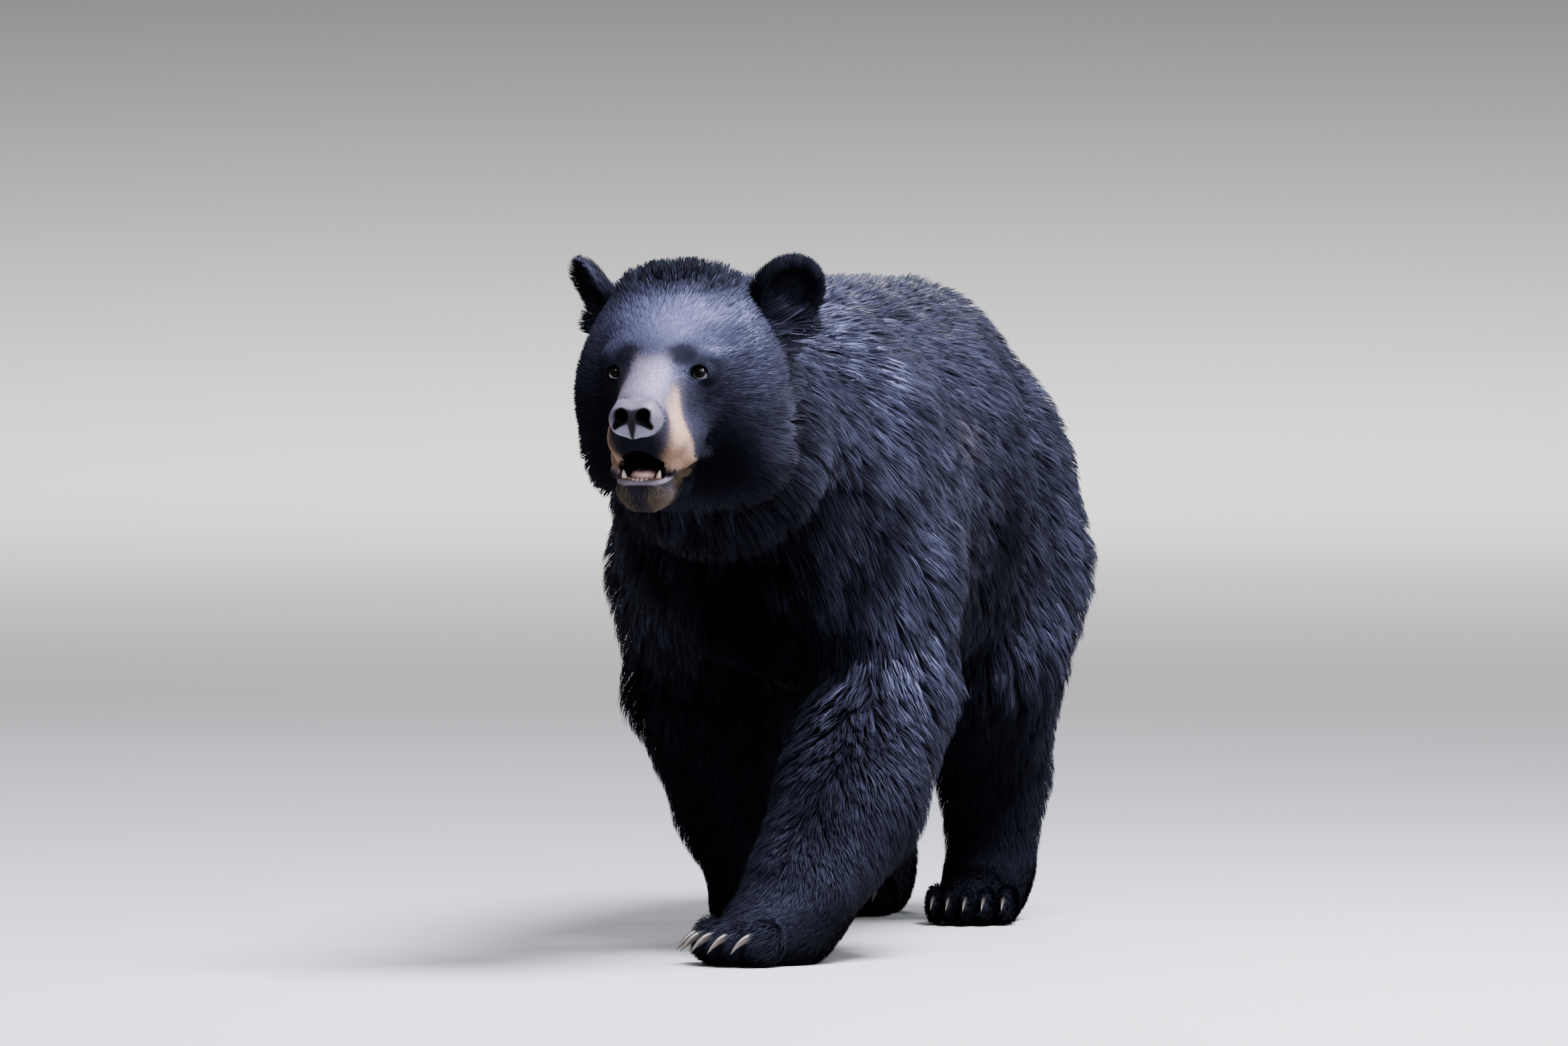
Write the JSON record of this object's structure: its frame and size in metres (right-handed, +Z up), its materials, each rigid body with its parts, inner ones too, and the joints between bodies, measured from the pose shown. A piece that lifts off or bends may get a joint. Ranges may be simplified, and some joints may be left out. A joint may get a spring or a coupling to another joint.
{
  "type": "black bear model",
  "caption": "Still life-size model of an American black bear, walking with a level head and an open mouth.",
  "frame": {"origin": "on the floor, under the middle of the box that holds the whole bear", "axes": "the bear faces -Y, its own left side is +X, +Z is up"},
  "size_m": [0.508, 1.7234, 0.9005],
  "materials": {
    "coat": "dense black fur with a cool sheen",
    "jaw": "short tan fur with dark lips",
    "nose": "moist bare grained skin",
    "tongue": "wet flesh",
    "eyes": "wet dark brown eye",
    "claws": "smooth dark horn"
  },
  "bodies": {
    "root": {"ear_left": "coat", "ear_right": "coat", "eye_left": "eyes", "eye_right": "eyes", "front_left_claw_1": "claws", "front_left_claw_2": "claws", "front_left_claw_3": "claws", "front_left_claw_4": "claws", "front_left_claw_5": "claws", "front_left_leg_lower": "coat", "front_left_leg_upper": "coat", "front_left_paw": "coat", "front_right_claw_1": "claws", "front_right_claw_2": "claws", "front_right_claw_3": "claws", "front_right_claw_4": "claws", "front_right_claw_5": "claws", "front_right_leg_lower": "coat", "front_right_leg_upper": "coat", "front_right_paw": "coat", "head": "coat", "hind_left_claw_1": "claws", "hind_left_claw_2": "claws", "hind_left_claw_3": "claws", "hind_left_claw_4": "claws", "hind_left_claw_5": "claws", "hind_left_leg_lower": "coat", "hind_left_leg_upper": "coat", "hind_left_paw": "coat", "hind_right_claw_1": "claws", "hind_right_claw_2": "claws", "hind_right_claw_3": "claws", "hind_right_claw_4": "claws", "hind_right_claw_5": "claws", "hind_right_leg_lower": "coat", "hind_right_leg_upper": "coat", "hind_right_paw": "coat", "lower_jaw": "jaw", "neck": "coat", "nose": "nose", "tail": "coat", "tongue": "tongue", "trunk": "coat"}
  },
  "joints": []
}
